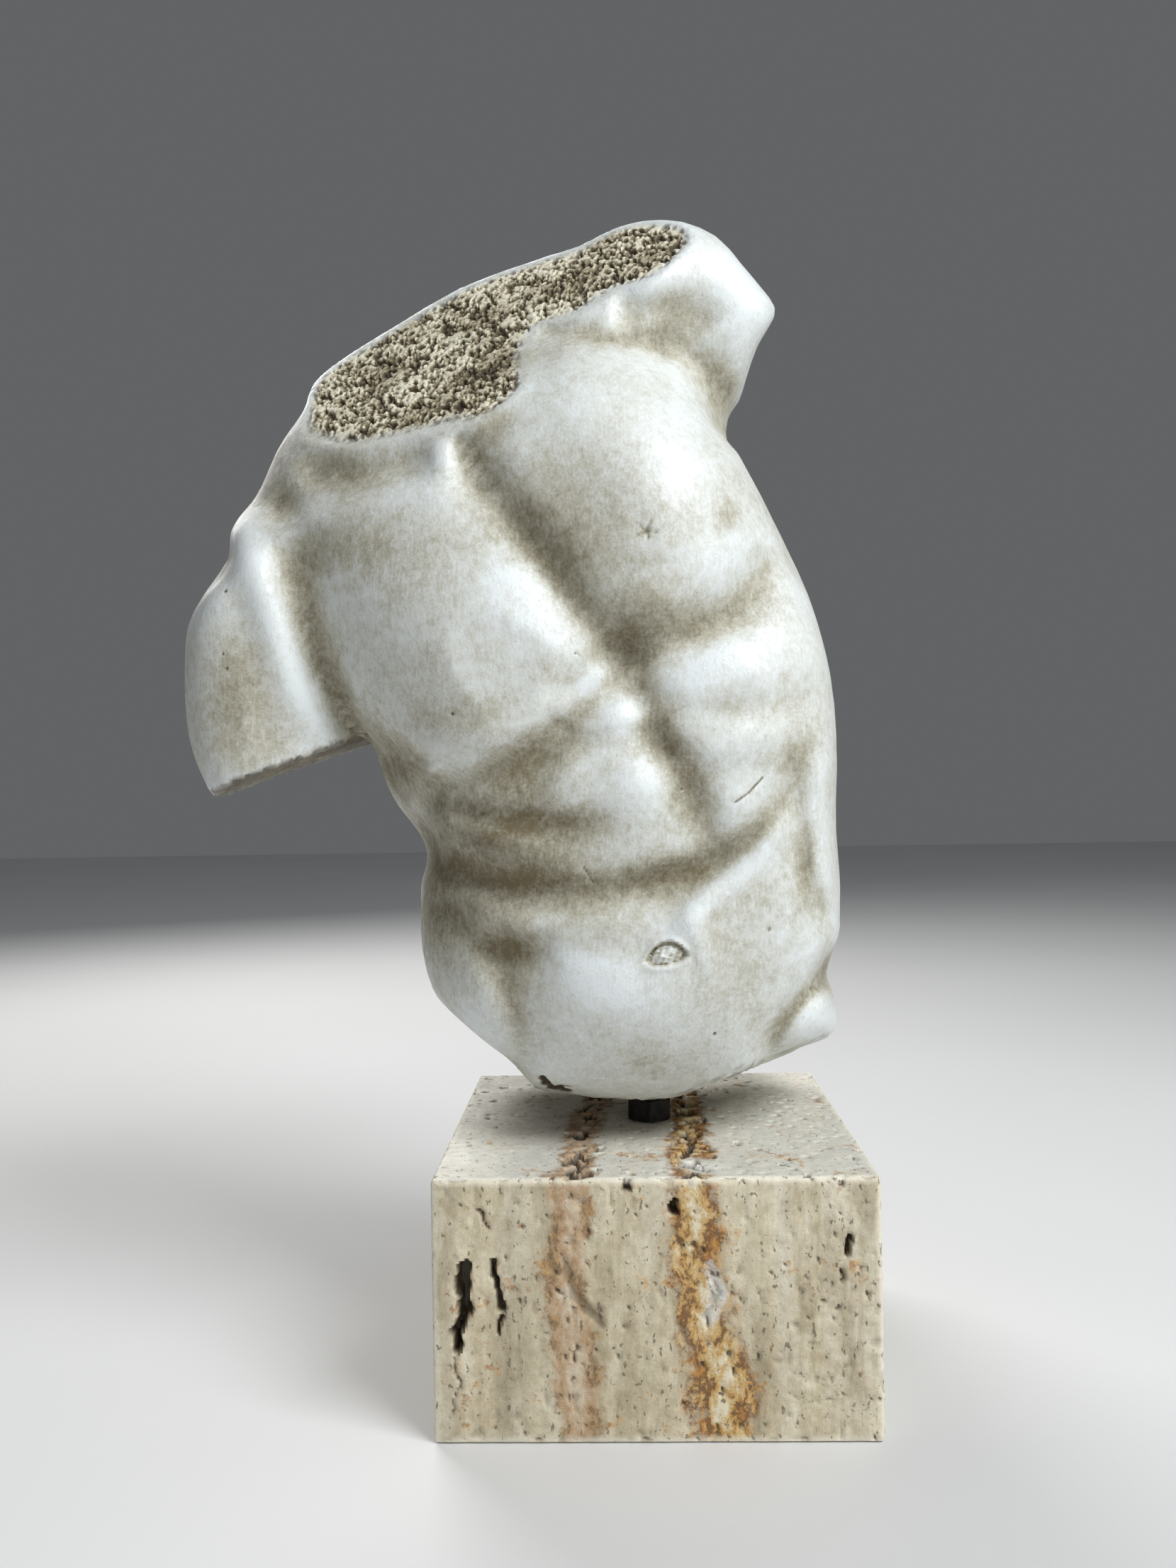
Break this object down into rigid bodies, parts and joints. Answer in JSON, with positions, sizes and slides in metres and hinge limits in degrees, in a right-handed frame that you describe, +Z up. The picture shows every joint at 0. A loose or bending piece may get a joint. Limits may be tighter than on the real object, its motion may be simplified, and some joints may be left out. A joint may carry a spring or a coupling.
{
  "type": "cast marble torso sculpture",
  "caption": "Headless, armless male torso of cast marble, broken at neck, arms and thighs, on a short black threaded rod with a nut over a travertine block.",
  "frame": {"origin": "middle of the block's underside, on the surface that the block stands on", "axes": "+Z up; the viewer of the front looks along +Y; +X to that viewer's right"},
  "size_m": [0.2064, 0.12, 0.3572],
  "materials": {
    "cast_marble": "honed, with a grey-brown patina in the hollows and rough granular breaks",
    "travertine": "honed, open pores and voids, ochre veins",
    "black_steel": "blackened, satin"
  },
  "bodies": {
    "root": {"travertine_block": "travertine", "steel_rod": "black_steel", "steel_nut": "black_steel", "marble_torso": "cast_marble"}
  },
  "joints": []
}
